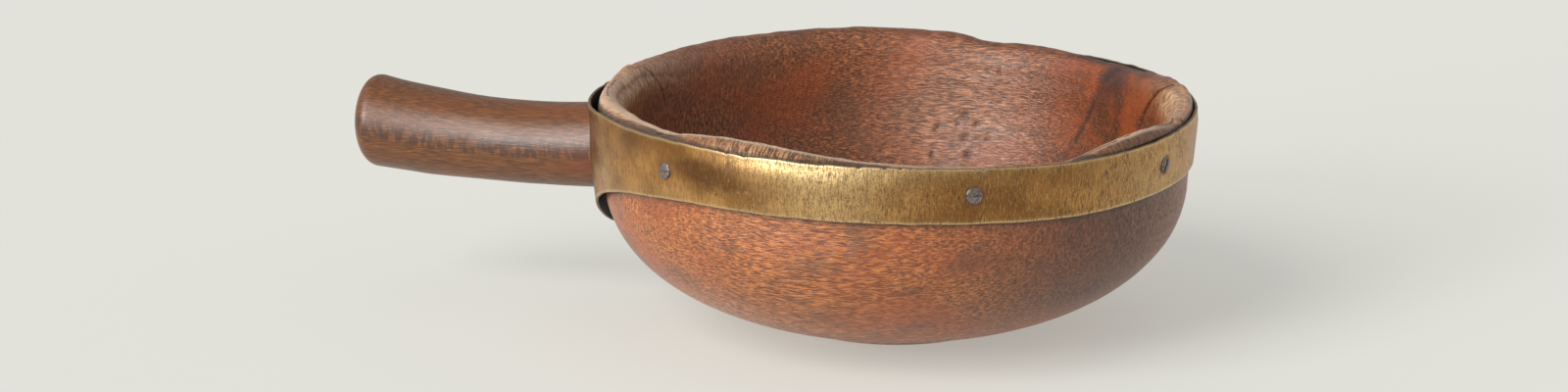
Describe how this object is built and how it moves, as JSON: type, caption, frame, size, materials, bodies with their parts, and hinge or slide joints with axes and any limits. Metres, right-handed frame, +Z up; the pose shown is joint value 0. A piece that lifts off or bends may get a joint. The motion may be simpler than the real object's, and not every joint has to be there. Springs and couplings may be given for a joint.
{
  "type": "handled wooden bowl",
  "caption": "Round carved wooden bowl with a stout round side handle and a brass hoop screwed round the wall just below the wavy rim.",
  "frame": {"origin": "centre of the bowl's flat base, on the surface it stands on", "axes": "+Z up out of the bowl's mouth, the handle points along -X, +Y completes the right-handed frame"},
  "size_m": [0.2732, 0.191, 0.0781],
  "materials": {
    "bowl_wood": "old oiled hardwood with curly, flecked grain, satin",
    "handle_wood": "old hardwood with dark ray flecks, hand polished",
    "wedge_wood": "plain split hardwood, satin",
    "hoop_brass": "old hammered sheet with fine scratches and dark tarnish specks",
    "screw_steel": "worn grey steel, satin",
    "rivet_brass": "worn brass, satin"
  },
  "bodies": {
    "root": {"bowl": "bowl_wood", "handle": "handle_wood", "tenon_wedge": "wedge_wood", "brass_hoop": "hoop_brass", "hoop_screw_1": "screw_steel", "hoop_screw_2": "screw_steel", "hoop_screw_3": "screw_steel", "hoop_screw_4": "screw_steel", "hoop_screw_5": "screw_steel", "seam_rivet_1": "rivet_brass", "seam_rivet_2": "rivet_brass"}
  },
  "joints": []
}
